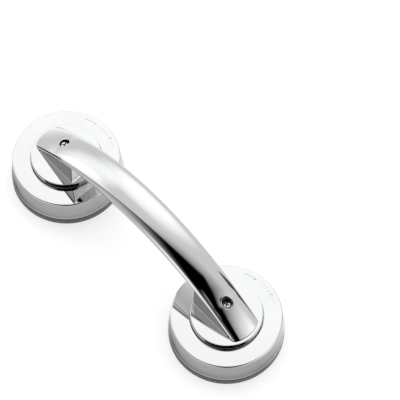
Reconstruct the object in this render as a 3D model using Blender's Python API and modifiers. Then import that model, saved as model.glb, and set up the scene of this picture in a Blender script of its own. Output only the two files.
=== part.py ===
"""Suction grab bar: an arched handle on two twist-lock suction discs.

World frame: metres, +X along the handle, +Z away from the wall, z = 0 on the sealing face of the pads.
Every length below is in millimetres and is multiplied by MM when a mesh is made.
"""
import math

import bmesh
import bpy
from mathutils import Matrix, Vector

MM = 0.001
GAP = 0.3

# Discs
DISC_X = 101.25
PAD_R = 48.73
PAD_RIM_Z = 5.0
PAD_WEB_Z = 3.2
RING_BOTTOM_Z = 5.6
RING_TOP_Z = 30.0
RING_TOP_R = 46.6
RING_WALL = 2.2
RING_HOLE_R = 30.9
COLLAR_R = 33.0
COLLAR_BOTTOM_Z = 15.0
HUB_TOP_Z = 36.0
HUB_TOP_R = 30.0
HUB_FOOT_R = 30.5
HUB_BOSS_R = 15.0
HUB_BOSS_Z = 30.8
HUB_SPIGOT_R = 4.2
HUB_SPIGOT_Z = 24.0

# Pressure plate, its post and the screws that join it to the hub
PLATE_R = 45.6
PLATE_TOP_Z = 8.9
POST_R = 15.0
POST_BORE_R = 8.3
POST_TOP_Z = HUB_BOSS_Z - GAP
HUB_SCREW_CIRCLE = 11.7
HUB_SCREW_R = 1.4
HUB_SCREW_ANGLES = (0.0, 120.0, 240.0)

# Cam, pin and stud
STUD_TRAVEL = 4.0
LOCK_TURN = math.radians(90.0)
PIN_R = 2.0
PIN_HALF = 22.0
PIN_Z = 14.3
CAM_INNER_R = 15.6
CAM_TRACK_R = 23.0
CAM_OUTER_R = 32.7
CAM_BOTTOM_Z = 10.2
CAM_FLOOR_Z = 12.0
CAM_TOP_Z = 22.6
CAM_OVERRUN = math.radians(8.0)
STUD_R = 8.0
STUD_TOP_Z = 16.8
SPRING_R = 6.2
SPRING_WIRE_R = 0.6
SPRING_TURNS = 4.5

# Handle
ARCH_Z = 79.8
ARCH_R = 193.0
HALF_WIDTH_MID = 15.3
HALF_WIDTH_END = 14.4
CROWN_MID = 9.0
CROWN_END = 5.0
CROWN_TIP_GAIN = 1.4
END_ARC_R = 27.4
SHELL = 2.2
RIM_DROP = 1.8
RIM_INSET = 0.2
BELLY_MID = 5.2
BELLY_FOOT = 3.4
FOOT_INSET = 0.6
FOOT_BASE_Z = HUB_TOP_Z + GAP
FOOT_FACE_X = 76.4
FOOT_HALF_LOW = 14.8
FOOT_DRAFT = 0.0385
FOOT_OUTER_X = 117.5
FOOT_WALL = 2.5
SECTION_POWER = 2.2

# Screw cup in the handle and the screw in it
CUP_R = 6.2
CUP_BORE_R = 4.4
CUP_BOTTOM_Z = 47.9
CUP_FLOOR_Z = 49.6
FOOT_BOSS_R = 8.6
SHANK_HOLE_R = 2.4
SCREW_HEAD_R = 3.8
SCREW_SHANK_R = 2.0
SCREW_TOP_Z = 52.1
SCREW_TIP_Z = 25.6
PHILLIPS_WIDTH = 1.0
PHILLIPS_SPAN = 4.4
PHILLIPS_DEPTH = 1.5


def material(name, colour, roughness, metallic):
    """One Principled material."""
    mat = bpy.data.materials.new(name)
    mat.use_nodes = True
    shader = mat.node_tree.nodes["Principled BSDF"]
    shader.inputs["Base Color"].default_value = (*colour, 1.0)
    shader.inputs["Roughness"].default_value = roughness
    shader.inputs["Metallic"].default_value = metallic
    mat.diffuse_color = (*colour, 1.0)
    return mat


def place(obj, collection, mat=None, smooth=True):
    """Put an object in its collection, with its material and shading."""
    collection.objects.link(obj)
    if mat is not None:
        obj.data.materials.append(mat)
    if smooth and obj.type == "MESH":
        for polygon in obj.data.polygons:
            polygon.use_smooth = True
    return obj


def as_cutter(obj):
    """Hide a helper solid from renders."""
    obj.hide_render = True
    obj.display_type = "WIRE"
    return obj


def profile_mesh(name, points, closed):
    """Edges in the XZ plane through (radius, height) points."""
    mesh = bpy.data.meshes.new(name)
    edges = [(i, i + 1) for i in range(len(points) - 1)]
    if closed:
        edges.append((len(points) - 1, 0))
    mesh.from_pydata([(r * MM, 0.0, z * MM) for r, z in points], edges, [])
    return mesh


def turned(name, points, centre_x, collection, mat, closed=False, steps=40):
    """Revolve a profile that runs down its outer side; a closed one leaves a hole on the axis."""
    obj = bpy.data.objects.new(name, profile_mesh(name, points, closed))
    obj.location = (centre_x * MM, 0.0, 0.0)
    screw = obj.modifiers.new("Turn", "SCREW")
    screw.angle = 2.0 * math.pi
    screw.steps = steps
    screw.render_steps = steps
    screw.use_merge_vertices = True
    screw.merge_threshold = 0.00001
    screw.use_smooth_shade = True
    screw.use_normal_calculate = False
    return place(obj, collection, mat)


def cylinder(name, radius, low, high, centre, collection, segments=24):
    """An upright solid cylinder between two heights."""
    mesh = bpy.data.meshes.new(name)
    bm = bmesh.new()
    bmesh.ops.create_cone(bm, cap_ends=True, segments=segments, radius1=radius * MM,
                          radius2=radius * MM, depth=(high - low) * MM)
    bmesh.ops.translate(bm, verts=bm.verts, vec=(0.0, 0.0, 0.5 * (low + high) * MM))
    bm.to_mesh(mesh)
    bm.free()
    obj = bpy.data.objects.new(name, mesh)
    obj.location = (centre[0] * MM, centre[1] * MM, 0.0)
    return place(obj, collection)


def box(name, low, high, collection):
    """An axis-aligned block between two corners."""
    mesh = bpy.data.meshes.new(name)
    bm = bmesh.new()
    bmesh.ops.create_cube(bm, size=1.0)
    size = [(b - a) * MM for a, b in zip(low, high)]
    middle = [0.5 * (a + b) * MM for a, b in zip(low, high)]
    bmesh.ops.transform(bm, matrix=Matrix.Translation(middle) @ Matrix.Diagonal((*size, 1.0)), verts=bm.verts)
    bm.to_mesh(mesh)
    bm.free()
    return place(bpy.data.objects.new(name, mesh), collection)


def boolean(obj, cutter, operation):
    """Add an exact Boolean with a hidden helper."""
    step = obj.modifiers.new(f"{operation.title()} {cutter.name}", "BOOLEAN")
    step.operation = operation
    step.solver = "EXACT"
    step.object = as_cutter(cutter)


def loft(name, rings, collection, mat=None, smooth=True):
    """Skin closed rings whose second half runs back beside the first, and cap both ends with strips."""
    mesh = bpy.data.meshes.new(name)
    bm = bmesh.new()
    loops = [[bm.verts.new(Vector(point) * MM) for point in ring] for ring in rings]
    for first, second in zip(loops, loops[1:]):
        for i in range(len(first)):
            j = (i + 1) % len(first)
            bm.faces.new((first[i], first[j], second[j], second[i]))
    for loop in (loops[0], loops[-1]):
        last = len(loop) - 1
        for i in range(len(loop) // 2 - 1):
            bm.faces.new((loop[i], loop[i + 1], loop[last - i - 1], loop[last - i]))
    bmesh.ops.recalc_face_normals(bm, faces=bm.faces)
    bm.to_mesh(mesh)
    bm.free()
    return place(bpy.data.objects.new(name, mesh), collection, mat, smooth)


def arch(x):
    """Height of the handle's widest line."""
    return ARCH_Z - ARCH_R + math.sqrt(ARCH_R ** 2 - x ** 2)


def half_width(x):
    """Half of the handle's width."""
    share = min(1.0, abs(x) / DISC_X) ** 2
    return HALF_WIDTH_MID + (HALF_WIDTH_END - HALF_WIDTH_MID) * share


def crown(x):
    """Rise of the handle's top above its widest line."""
    share = min(1.0, abs(x) / DISC_X) ** 2
    beyond = max(0.0, abs(x) - DISC_X) / (END_ARC_R)
    return CROWN_MID + (CROWN_END - CROWN_MID) * share + CROWN_TIP_GAIN * beyond ** 2


def half_section(angle):
    """Unit superellipse point, (across, up), for an angle from 0 to pi."""
    c = math.cos(angle)
    s = max(0.0, math.sin(angle))
    power = 2.0 / SECTION_POWER
    return math.copysign(abs(c) ** power, c), s ** power


def end_x(y):
    """How far the handle's end arc reaches at this side offset."""
    return DISC_X + math.sqrt(END_ARC_R ** 2 - y ** 2)


def crown_line(share, inset, rim_inset):
    """Points across the handle's top from rim to rim, set inside the outer surface by inset."""
    steps = 10
    width = half_width(share * end_x(0.0)) - inset
    line = []
    for i in range(steps + 1):
        across, up = half_section(math.pi * i / steps)
        x = share * end_x(across * width)
        line.append((x, across * width, arch(x) + up * (crown(x) - inset)))
    rims = []
    for side in (1.0, -1.0):
        x = share * end_x(width)
        rims.append((x, side * (width - rim_inset), arch(x) - RIM_DROP))
    return [rims[0]] + line + [rims[1]]


def top_shell_ring(share):
    """Section of the upper shell; share runs from -1 to 1 along the handle."""
    return crown_line(share, 0.0, RIM_INSET) + crown_line(share, SHELL, 0.0)[::-1]


def solid_under_crown_ring(share):
    """Section that fills the upper shell up to the middle of its wall."""
    line = crown_line(share, 0.5 * SHELL, 0.0)
    return line + [(x, y, COLLAR_BOTTOM_Z) for x, y, z in line[::-1]]


def belly_ring(x):
    """Section of the underside: a shallow tray open towards the upper shell."""
    steps = 8
    share = min(1.0, abs(x) / DISC_X)
    depth = BELLY_MID + (BELLY_FOOT - BELLY_MID) * share ** 2
    width = half_width(x) - FOOT_INSET
    top = arch(x) - RIM_DROP - GAP
    outer = [half_section(math.pi * i / steps) for i in range(steps + 1)]
    ring = [(x, across * width, top - up * depth) for across, up in outer]
    for across, up in reversed(outer):
        ring.append((x, across * (width - SHELL), top - up * (depth - SHELL)))
    return ring


def foot_block(name, side, inset, drop, bottom, outer_x, collection):
    """Wedge between the hub and the arch, with a flat inner face and sides that lean in with height."""
    along_steps = 6
    first = FOOT_FACE_X + inset
    rings = []
    for i in range(along_steps + 1):
        x = first + (outer_x - first) * i / along_steps
        top = arch(x) - RIM_DROP - GAP - drop
        low_y, high_y = (FOOT_HALF_LOW - FOOT_DRAFT * (z - FOOT_BASE_Z) - inset for z in (bottom, top))
        rings.append([(side * x, -low_y, bottom), (side * x, low_y, bottom),
                      (side * x, high_y, top), (side * x, -high_y, top)])
    return loft(name, rings, collection, smooth=False)


def helical_ramp(name, start, collection):
    """Ramp block on the cam ring that rises with angle, in the ring's own frame."""
    steps = 12
    sweep = LOCK_TURN + CAM_OVERRUN
    rings = []
    for i in range(steps + 1):
        turn = sweep * i / steps
        top = CAM_FLOOR_Z + STUD_TRAVEL * turn / LOCK_TURN
        low = 0.5 * (CAM_BOTTOM_Z + CAM_FLOOR_Z)
        c, s = math.cos(start + turn), math.sin(start + turn)
        corners = ((CAM_INNER_R, low), (CAM_TRACK_R, low), (CAM_TRACK_R, top), (CAM_INNER_R, top))
        rings.append([(r * c, r * s, z) for r, z in corners])
    return loft(name, rings, collection, smooth=False)


def coil(name, centre_x, low, high, collection, mat):
    """Compression spring as one closed tube."""
    curve = bpy.data.curves.new(name, "CURVE")
    curve.dimensions = "3D"
    curve.bevel_depth = SPRING_WIRE_R * MM
    curve.bevel_resolution = 2
    curve.use_fill_caps = True
    per_turn = 9
    count = int(SPRING_TURNS * per_turn) + 1
    spline = curve.splines.new("POLY")
    spline.points.add(count - 1)
    for i in range(count):
        turn = 2.0 * math.pi * i / per_turn
        z = low + (high - low) * i / (count - 1)
        spline.points[i].co = (SPRING_R * math.cos(turn) * MM, SPRING_R * math.sin(turn) * MM, z * MM, 1.0)
    rail = bpy.data.objects.new(f"{name}_rail", curve)
    collection.objects.link(rail)
    graph = bpy.context.evaluated_depsgraph_get()
    mesh = bpy.data.meshes.new_from_object(rail.evaluated_get(graph))
    bm = bmesh.new()
    bm.from_mesh(mesh)
    bmesh.ops.remove_doubles(bm, verts=bm.verts, dist=0.000005)
    bmesh.ops.recalc_face_normals(bm, faces=bm.faces)
    bm.to_mesh(mesh)
    bm.free()
    bpy.data.objects.remove(rail)
    obj = bpy.data.objects.new(name, mesh)
    obj.location = (centre_x * MM, 0.0, 0.0)
    return place(obj, collection, mat)


def build_handle(parts, cutters, chrome):
    """Upper shell with its screw cups, and the underside with its two feet."""
    stations = 24
    shares = [2.0 * i / stations - 1.0 for i in range(stations + 1)]
    top = loft("handle_top_shell", [top_shell_ring(s) for s in shares], parts, chrome)
    fill = [solid_under_crown_ring(s) for s in shares]
    reach = FOOT_FACE_X + 2.0 * FOOT_WALL
    belly = [reach * (2.0 * i / stations - 1.0) for i in range(stations + 1)]
    bottom = loft("handle_bottom_shell", [belly_ring(x) for x in belly], parts, chrome)
    for tag, side in (("a", -1.0), ("b", 1.0)):
        centre = (side * DISC_X, 0.0)
        cup = cylinder(f"cup_{tag}", CUP_R, CUP_BOTTOM_Z, ARCH_Z, centre, cutters)
        boolean(cup, loft(f"cup_limit_{tag}", fill, cutters), "INTERSECT")
        boolean(top, cup, "UNION")
        bore = cylinder(f"cup_bore_{tag}", CUP_BORE_R, CUP_FLOOR_Z, ARCH_Z, centre, cutters)
        boolean(top, bore, "DIFFERENCE")
        hole = cylinder(f"shank_hole_{tag}", SHANK_HOLE_R, FOOT_BASE_Z - SHELL, ARCH_Z, centre, cutters, 16)
        boolean(top, hole, "DIFFERENCE")
        below = box(f"below_hub_{tag}", (side * 115.0 - 35.0, -30.0, 10.0),
                    (side * 115.0 + 35.0, 30.0, FOOT_BASE_Z), cutters)
        boolean(top, below, "DIFFERENCE")

        foot = foot_block(f"foot_{tag}", side, 0.0, 0.0, FOOT_BASE_Z, FOOT_OUTER_X, cutters)
        boolean(bottom, foot, "UNION")
        pocket = foot_block(f"foot_pocket_{tag}", side, FOOT_WALL, FOOT_WALL, FOOT_BASE_Z - SHELL,
                            FOOT_OUTER_X - 3.0 * FOOT_WALL, cutters)
        boss = cylinder(f"foot_boss_{tag}", FOOT_BOSS_R, FOOT_BASE_Z - 2.0 * SHELL, ARCH_Z, centre, cutters)
        boolean(pocket, boss, "DIFFERENCE")
        boolean(bottom, pocket, "DIFFERENCE")
        clear = cylinder(f"cup_clearance_{tag}", CUP_R + 2.0 * GAP, CUP_BOTTOM_Z - GAP, ARCH_Z + SHELL,
                         centre, cutters)
        boolean(bottom, clear, "DIFFERENCE")
        boolean(bottom, hole, "DIFFERENCE")


def build_screw(tag, x, parts, cutters, steel):
    """Pan-head screw with a cross recess, from the handle's cup into the hub's spigot."""
    head_low = CUP_FLOOR_Z + GAP
    profile = [(0.0, SCREW_TOP_Z), (2.4, SCREW_TOP_Z - 0.1), (SCREW_HEAD_R - 0.4, SCREW_TOP_Z - 0.6),
               (SCREW_HEAD_R, SCREW_TOP_Z - 1.4), (SCREW_HEAD_R, head_low), (SCREW_SHANK_R, head_low),
               (SCREW_SHANK_R, SCREW_TIP_Z + 1.5), (0.0, SCREW_TIP_Z)]
    screw = turned(f"handle_screw_{tag}", profile, x, parts, steel, steps=20)
    half = 0.5 * PHILLIPS_SPAN
    thin = 0.5 * PHILLIPS_WIDTH
    low, high = SCREW_TOP_Z - PHILLIPS_DEPTH, SCREW_TOP_Z + 1.0
    for name, dx, dy in (("along", half, thin), ("across", thin, half)):
        slot = box(f"phillips_{name}_{tag}", (x - dx, -dy, low), (x + dx, dy, high), cutters)
        boolean(screw, slot, "DIFFERENCE")


def build_hub(tag, x, parts, cutters, chrome):
    """Raised hub cap with a flange under the lock ring and a spigot inside the spring."""
    flange_top = RING_TOP_Z - RING_WALL - 0.4
    flange_low = flange_top - 2.0
    pilot = SCREW_SHANK_R + GAP
    inner = HUB_FOOT_R - 2.9
    profile = [(pilot, HUB_TOP_Z), (HUB_TOP_R - 0.5, HUB_TOP_Z), (HUB_TOP_R, HUB_TOP_Z - 0.5),
               (HUB_FOOT_R, RING_TOP_Z), (HUB_FOOT_R, flange_top), (COLLAR_R - 0.4, flange_top),
               (COLLAR_R - 0.4, flange_low), (inner, flange_low), (inner, HUB_TOP_Z - 3.0),
               (HUB_BOSS_R, HUB_TOP_Z - 3.0), (HUB_BOSS_R, HUB_BOSS_Z), (HUB_SPIGOT_R, HUB_BOSS_Z),
               (HUB_SPIGOT_R, HUB_SPIGOT_Z), (pilot, HUB_SPIGOT_Z)]
    hub = turned(f"hub_cap_{tag}", profile, x, parts, chrome, closed=True, steps=36)
    for i, (hx, hy) in enumerate(hub_screw_places(x)):
        hole = cylinder(f"hub_pilot_{tag}{i + 1}", HUB_SCREW_R + GAP, HUB_BOSS_Z - 1.0, HUB_TOP_Z - 1.2,
                        (hx, hy), cutters, 12)
        boolean(hub, hole, "DIFFERENCE")


def hub_screw_places(x):
    """Axes of the screws that join the post to the hub."""
    places = []
    for degrees in HUB_SCREW_ANGLES:
        turn = math.radians(degrees)
        places.append((x + HUB_SCREW_CIRCLE * math.cos(turn), HUB_SCREW_CIRCLE * math.sin(turn)))
    return places


def build_plate(tag, x, parts, cutters, plastic, steel):
    """Pressure plate with its slotted post, and the three screws into the hub."""
    profile = [(POST_R, POST_TOP_Z), (POST_R, PLATE_TOP_Z), (PLATE_R, PLATE_TOP_Z),
               (PLATE_R, PAD_RIM_Z + GAP), (37.0, PAD_RIM_Z + GAP), (36.0, 6.4), (POST_BORE_R, 6.4),
               (POST_BORE_R, POST_TOP_Z)]
    plate = turned(f"pressure_plate_{tag}", profile, x, parts, plastic, closed=True, steps=32)
    slot_half = PIN_R + GAP
    slot = box(f"pin_slot_{tag}", (x - slot_half, -1.4 * POST_R, PIN_Z - slot_half),
               (x + slot_half, 1.4 * POST_R, PIN_Z + STUD_TRAVEL + slot_half), cutters)
    boolean(plate, slot, "DIFFERENCE")
    head_r = HUB_SCREW_R + 1.0
    head_top = 8.1
    head_low = 6.6
    for i, (hx, hy) in enumerate(hub_screw_places(x)):
        hole = cylinder(f"plate_hole_{tag}{i + 1}", HUB_SCREW_R + GAP, 2.0, POST_TOP_Z + 2.0, (hx, hy),
                        cutters, 12)
        boolean(plate, hole, "DIFFERENCE")
        seat = cylinder(f"plate_seat_{tag}{i + 1}", head_r + GAP, 2.0, head_top + GAP, (hx, hy), cutters, 12)
        boolean(plate, seat, "DIFFERENCE")
        tip = HUB_TOP_Z - 1.6
        shape = [(0.0, tip), (HUB_SCREW_R, tip - 0.8), (HUB_SCREW_R, head_top), (head_r, head_top),
                 (head_r, head_low), (0.0, head_low)]
        screw = turned(f"hub_screw_{tag}{i + 1}", shape, hx, parts, steel, steps=10)
        screw.location.y = hy * MM


def build_lock_ring(tag, x, parts, cutters, chrome, plastic):
    """Chromed twist ring and the cam ring that turns with it."""
    low_r = PAD_R - 0.15
    under = RING_TOP_Z - RING_WALL
    profile = [(RING_HOLE_R, RING_TOP_Z), (RING_TOP_R - 1.2, RING_TOP_Z), (RING_TOP_R - 0.4, RING_TOP_Z - 0.3),
               (RING_TOP_R, RING_TOP_Z - 1.0), (low_r - 0.4, RING_BOTTOM_Z + 4.0), (low_r, RING_BOTTOM_Z + 2.6),
               (low_r, RING_BOTTOM_Z), (low_r - RING_WALL, RING_BOTTOM_Z),
               (low_r - RING_WALL - 0.4, RING_BOTTOM_Z + 4.0), (RING_TOP_R - RING_WALL, under),
               (COLLAR_R + RING_WALL, under), (COLLAR_R + RING_WALL, COLLAR_BOTTOM_Z),
               (COLLAR_R, COLLAR_BOTTOM_Z), (COLLAR_R, under), (RING_HOLE_R, under)]
    turned(f"lock_ring_{tag}", profile, x, parts, chrome, closed=True, steps=40)

    wall_r = CAM_OUTER_R - 2.4
    shape = [(CAM_OUTER_R, CAM_TOP_Z), (CAM_OUTER_R, CAM_BOTTOM_Z), (CAM_INNER_R, CAM_BOTTOM_Z),
             (CAM_INNER_R, CAM_FLOOR_Z), (wall_r, CAM_FLOOR_Z), (wall_r, CAM_TOP_Z)]
    cam = turned(f"cam_ring_{tag}", shape, x, parts, plastic, closed=True, steps=32)
    for number, start in enumerate((0.5 * math.pi, 1.5 * math.pi)):
        ramp = helical_ramp(f"cam_ramp_{tag}{number + 1}", start, cutters)
        ramp.location.x = x * MM
        boolean(cam, ramp, "UNION")


def build_stud(tag, x, parts, cutters, steel):
    """Pull stud, cross pin and return spring."""
    neck_r = 6.5
    stud = turned(f"pull_stud_{tag}", [(0.0, STUD_TOP_Z), (STUD_R, STUD_TOP_Z), (STUD_R, 6.2), (neck_r, 6.2),
                                       (neck_r, 1.9), (0.0, 1.9)], x, parts, steel, steps=24)
    for name, radius, reach in (("pin_hole", PIN_R + GAP, 1.5 * STUD_R), ("cross_pin", PIN_R, PIN_HALF)):
        keep = name == "cross_pin"
        rod = cylinder(f"{name}_{tag}", radius, -reach, reach, (0.0, 0.0), parts if keep else cutters, 14)
        rod.data.transform(Matrix.Rotation(0.5 * math.pi, 4, "X"))
        rod.location = (x * MM, 0.0, PIN_Z * MM)
        if keep:
            rod.data.materials.append(steel)
        else:
            boolean(stud, rod, "DIFFERENCE")
    coil(f"return_spring_{tag}", x, STUD_TOP_Z + SPRING_WIRE_R + GAP, HUB_BOSS_Z - SPRING_WIRE_R - GAP,
         parts, steel)


def build_pad(tag, x, parts, rubber, plastic):
    """Rubber pad that seals on the wall, and the washer under the cam ring."""
    profile = [(0.0, 1.6), (6.8, 1.6), (6.8, 5.8), (10.5, 5.8), (12.0, PAD_WEB_Z), (36.0, PAD_WEB_Z),
               (38.0, PAD_RIM_Z), (PAD_R - 0.5, PAD_RIM_Z), (PAD_R, PAD_RIM_Z - 0.5), (PAD_R, 0.6),
               (PAD_R - 0.5, 0.0), (0.0, 0.0)]
    turned(f"suction_pad_{tag}", profile, x, parts, rubber, steps=40)
    low, high = PLATE_TOP_Z + GAP, CAM_BOTTOM_Z - GAP
    ring = [(30.0, high), (30.0, low), (16.0, low), (16.0, high)]
    turned(f"thrust_washer_{tag}", ring, x, parts, plastic, closed=True, steps=28)


def main():
    for obj in list(bpy.data.objects):
        bpy.data.objects.remove(obj)
    parts = bpy.data.collections.new("suction_grab_bar")
    cutters = bpy.data.collections.new("cutters")
    for collection in (parts, cutters):
        bpy.context.scene.collection.children.link(collection)

    chrome = material("chromed_plastic", (0.86, 0.87, 0.88), 0.06, 1.0)
    steel = material("zinc_steel", (0.62, 0.62, 0.60), 0.28, 1.0)
    rubber = material("grey_rubber", (0.09, 0.09, 0.095), 0.62, 0.0)
    grey = material("grey_plastic", (0.45, 0.46, 0.47), 0.45, 0.0)
    white = material("white_plastic", (0.86, 0.86, 0.83), 0.38, 0.0)

    build_handle(parts, cutters, chrome)
    for tag, x in (("a", -DISC_X), ("b", DISC_X)):
        build_screw(tag, x, parts, cutters, steel)
        build_hub(tag, x, parts, cutters, chrome)
        build_plate(tag, x, parts, cutters, grey, steel)
        build_lock_ring(tag, x, parts, cutters, chrome, white)
        build_stud(tag, x, parts, cutters, steel)
        build_pad(tag, x, parts, rubber, white)


main()
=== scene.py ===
"""Suction grab bar: the visible surfaces, their materials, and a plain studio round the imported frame.

World frame: metres, +X along the handle, +Z away from the wall, z = 0 on the sealing face of the pads.
Shape lengths below are in millimetres and are multiplied by MM when a mesh is made.
"""

import math

import bmesh
import bpy
from mathutils import Matrix, Vector


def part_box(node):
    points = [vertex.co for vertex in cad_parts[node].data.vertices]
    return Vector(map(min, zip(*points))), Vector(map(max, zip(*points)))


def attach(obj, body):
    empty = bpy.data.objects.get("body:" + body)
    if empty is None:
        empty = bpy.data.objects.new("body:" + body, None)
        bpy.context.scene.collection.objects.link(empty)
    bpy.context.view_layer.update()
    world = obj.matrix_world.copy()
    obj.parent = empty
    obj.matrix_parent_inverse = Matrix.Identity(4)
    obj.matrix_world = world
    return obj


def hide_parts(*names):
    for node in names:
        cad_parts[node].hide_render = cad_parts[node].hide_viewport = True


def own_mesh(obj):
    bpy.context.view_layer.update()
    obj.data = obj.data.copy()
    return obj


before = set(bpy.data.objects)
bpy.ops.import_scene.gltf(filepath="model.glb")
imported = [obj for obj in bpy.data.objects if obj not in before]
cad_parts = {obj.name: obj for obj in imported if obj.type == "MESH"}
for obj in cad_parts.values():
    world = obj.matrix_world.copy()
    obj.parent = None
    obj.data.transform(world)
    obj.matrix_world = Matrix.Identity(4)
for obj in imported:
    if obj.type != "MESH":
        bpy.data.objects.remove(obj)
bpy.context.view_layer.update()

MM = 0.001
SIDES = (("a", -1.0), ("b", 1.0))


def low_mm(node):
    """Lowest corner of a CAD node in millimetres."""
    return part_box(node)[0] / MM


def high_mm(node):
    """Highest corner of a CAD node in millimetres."""
    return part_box(node)[1] / MM


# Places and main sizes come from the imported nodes
DISC_X = 0.5 * (low_mm("hub_cap_b").x + high_mm("hub_cap_b").x)
HUB_TOP_Z = high_mm("hub_cap_b").z
RING_TOP_Z = high_mm("lock_ring_b").z
RING_BOTTOM_Z = low_mm("lock_ring_b").z
RING_LOW_R = 0.5 * (high_mm("lock_ring_b").y - low_mm("lock_ring_b").y)
PAD_R = 0.5 * (high_mm("suction_pad_b").y - low_mm("suction_pad_b").y)
CROWN_MID = 9.0
ARCH_Z = high_mm("handle_top_shell").z - CROWN_MID
FOOT_BASE_Z = low_mm("handle_top_shell").z
SCREW_TOP_Z = high_mm("handle_screw_b").z

# Handle's upper shell
ARCH_R = 193.0
HALF_WIDTH_MID = 15.3
HALF_WIDTH_END = 14.4
CROWN_END = 5.0
CROWN_TIP_GAIN = 1.4
END_ARC_R = 27.4
SHELL = 2.2
RIM_DROP = 1.8
RIM_INSET = 0.2
SECTION_POWER = 2.2
GAP = 0.3

# Handle's underside and its feet
BELLY_MID = 5.2
BELLY_FOOT = 3.4
BELLY_INSET = 0.6
FOOT_FACE_X = 76.4
FOOT_OUTER_X = 117.5
FOOT_HALF_LOW = 14.8
FOOT_DRAFT = 0.0385
FOOT_CORNER_R = 0.6
FOOT_WALL = 2.5
POCKET_OUTER_X = FOOT_OUTER_X - 7.5

# Screw cups
CUP_R = 6.2
CUP_BORE_R = 4.4
CUP_BOTTOM_Z = 47.9
CUP_FLOOR_Z = 49.6
CUP_LIP = 0.45
LIP_STEPS = 4
SHANK_HOLE_R = 2.4
FOOT_BOSS_R = 8.6

# Discs
RING_BORE_R = 30.9
RING_TOP_R = 46.5
SKIRT_IN_R = 33.0
SKIRT_OUT_R = 35.2
SKIRT_LOW_Z = 15.0
HUB_R = 30.5
MARK_R = 41.6

# Grid of the handle's top
ROWS = 160
ACROSS = 56
PATCH_ROWS = 9.2
PATCH_HALF_Y = 8.9
PATCH_RINGS = 6


# ---------------------------------------------------------------- mesh helpers


def finish_piece(name, bm, mat, sharp_degrees=38.0, weighted=False):
    """Turn a bmesh into a linked object: outward faces, smooth shading, sharp edges above an angle."""
    bmesh.ops.recalc_face_normals(bm, faces=bm.faces)
    limit = math.radians(sharp_degrees)
    for face in bm.faces:
        face.smooth = True
    for edge in bm.edges:
        if len(edge.link_faces) == 2 and edge.calc_face_angle(0.0) > limit:
            edge.smooth = False
    mesh = bpy.data.meshes.new(name)
    bm.to_mesh(mesh)
    bm.free()
    obj = bpy.data.objects.new(name, mesh)
    bpy.context.scene.collection.objects.link(obj)
    if mat is not None:
        mesh.materials.append(mat)
    if weighted:
        shade = obj.modifiers.new("Even flats", "WEIGHTED_NORMAL")
        shade.weight = 100
        shade.keep_sharp = True
    return obj


def rounded(corners, steps=4):
    """Closed outline from (r, z, fillet) corners, each fillet drawn as an arc."""
    outline = []
    for i, (r, z, fillet) in enumerate(corners):
        here = Vector((r, z))
        if fillet <= 0.0:
            outline.append((r, z))
            continue
        before = Vector(corners[i - 1][:2]) - here
        after = Vector(corners[(i + 1) % len(corners)][:2]) - here
        before.normalize()
        after.normalize()
        half = 0.5 * before.angle(after)
        middle = (before + after).normalized()
        centre = here + middle * (fillet / math.sin(half))
        first = here + before * (fillet / math.tan(half)) - centre
        last = here + after * (fillet / math.tan(half)) - centre
        for k in range(steps + 1):
            spoke = first.lerp(last, k / steps).normalized() * fillet
            outline.append(tuple(centre + spoke))
    return outline


def turned(bm, outline, centre_x, steps, closed=True):
    """Revolve an outline of (radius, height) points about a disc's axis."""
    rings = []
    for r, z in outline:
        if r < 1e-6:
            rings.append([bm.verts.new((centre_x * MM, 0.0, z * MM))])
            continue
        ring = []
        for i in range(steps):
            turn = 2.0 * math.pi * i / steps
            x = centre_x + r * math.cos(turn)
            ring.append(bm.verts.new((x * MM, r * math.sin(turn) * MM, z * MM)))
        rings.append(ring)
    pairs = list(zip(rings, rings[1:]))
    if closed:
        pairs.append((rings[-1], rings[0]))
    for first, second in pairs:
        bridge(bm, first, second)


def bridge(bm, first, second):
    """Faces between two closed loops of equal length, or between a loop and one pole."""
    count = max(len(first), len(second))
    for i in range(count):
        j = (i + 1) % count
        if len(first) == 1:
            bm.faces.new((first[0], second[j], second[i]))
        elif len(second) == 1:
            bm.faces.new((first[i], first[j], second[0]))
        else:
            bm.faces.new((first[i], first[j], second[j], second[i]))


def turned_piece(name, outline, centre_x, steps, mat, closed=True):
    """A turned object shaded so that its flats stay flat beside their fillets."""
    bm = bmesh.new()
    turned(bm, outline, centre_x, steps, closed)
    return finish_piece(name, bm, mat, 60.0, weighted=True)


def apply_modifiers(obj):
    """Replace an object's mesh by its evaluated mesh."""
    graph = bpy.context.evaluated_depsgraph_get()
    mesh = bpy.data.meshes.new_from_object(obj.evaluated_get(graph))
    obj.modifiers.clear()
    obj.data = mesh


def boolean(obj, cutter, operation):
    """One exact Boolean, applied at once; the helper solid is removed."""
    step = obj.modifiers.new("Boolean", "BOOLEAN")
    step.operation = operation
    step.solver = "EXACT"
    step.object = cutter
    bpy.context.view_layer.update()
    apply_modifiers(obj)
    bpy.data.objects.remove(cutter)


def reshade(obj, sharp_degrees, weighted=True):
    """Clean up a Boolean's result and give it smooth shading with sharp edges above an angle."""
    name = obj.name
    mat = obj.data.materials[0]
    bm = bmesh.new()
    bm.from_mesh(obj.data)
    bpy.data.objects.remove(obj)
    bmesh.ops.remove_doubles(bm, verts=bm.verts, dist=0.000002)
    bmesh.ops.dissolve_degenerate(bm, edges=bm.edges, dist=0.000002)
    return finish_piece(name, bm, mat, sharp_degrees, weighted)


def upright_solid(name, centre, radius, low, high, segments=48):
    """Helper cylinder between two heights."""
    bm = bmesh.new()
    outline = [(0.0, low), (radius, low), (radius, high), (0.0, high)]
    turned(bm, outline, centre, segments, closed=False)
    return finish_piece(name, bm, None)


# ---------------------------------------------------------------- handle shape


def arch(x):
    """Height of the handle's widest line."""
    return ARCH_Z - ARCH_R + math.sqrt(ARCH_R ** 2 - x ** 2)


def half_width(x):
    """Half of the handle's width."""
    share = min(1.0, abs(x) / DISC_X) ** 2
    return HALF_WIDTH_MID + (HALF_WIDTH_END - HALF_WIDTH_MID) * share


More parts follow.
